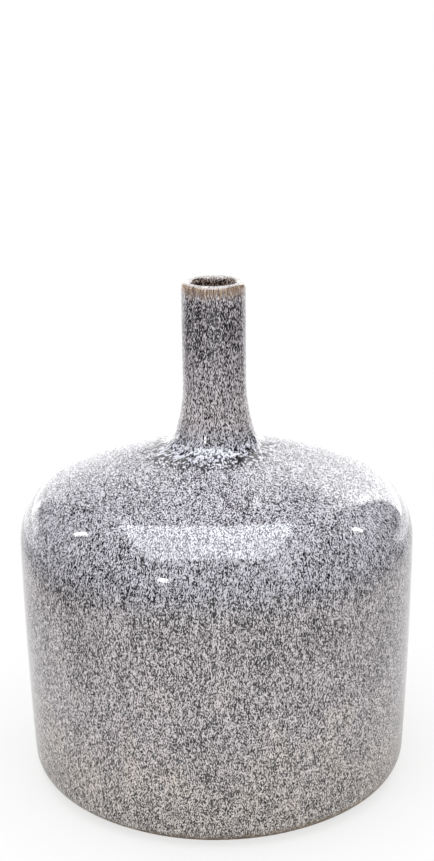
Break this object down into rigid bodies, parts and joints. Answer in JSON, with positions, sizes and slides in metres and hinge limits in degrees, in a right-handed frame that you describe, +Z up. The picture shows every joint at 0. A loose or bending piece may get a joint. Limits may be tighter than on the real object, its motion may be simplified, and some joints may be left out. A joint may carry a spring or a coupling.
{
  "type": "bottle vase",
  "caption": "Stoneware bottle vase: drum-shaped belly on a bare foot ring, domed shoulder and slim luted neck, with a speckled outer glaze and a lined bore for stems.",
  "frame": {"origin": "centre of the foot ring, on the plane the vase stands on", "axes": "+Z up along the vase's axis of revolution; X and Y are free, because the form is round"},
  "size_m": [0.195, 0.195, 0.25],
  "materials": {
    "stoneware": "bare fired stoneware, matt, brown buff",
    "slip": "fired slip, matt, hidden in the joint",
    "speckled_glaze": "glossy reactive glaze, black and off-white speckle on grey, brown where it thins",
    "liner_glaze": "glossy dark brown-grey liner glaze"
  },
  "bodies": {
    "root": {"belly": "stoneware", "neck": "stoneware", "luting_slip": "slip", "outer_glaze": "speckled_glaze", "inner_glaze": "liner_glaze"}
  },
  "joints": []
}
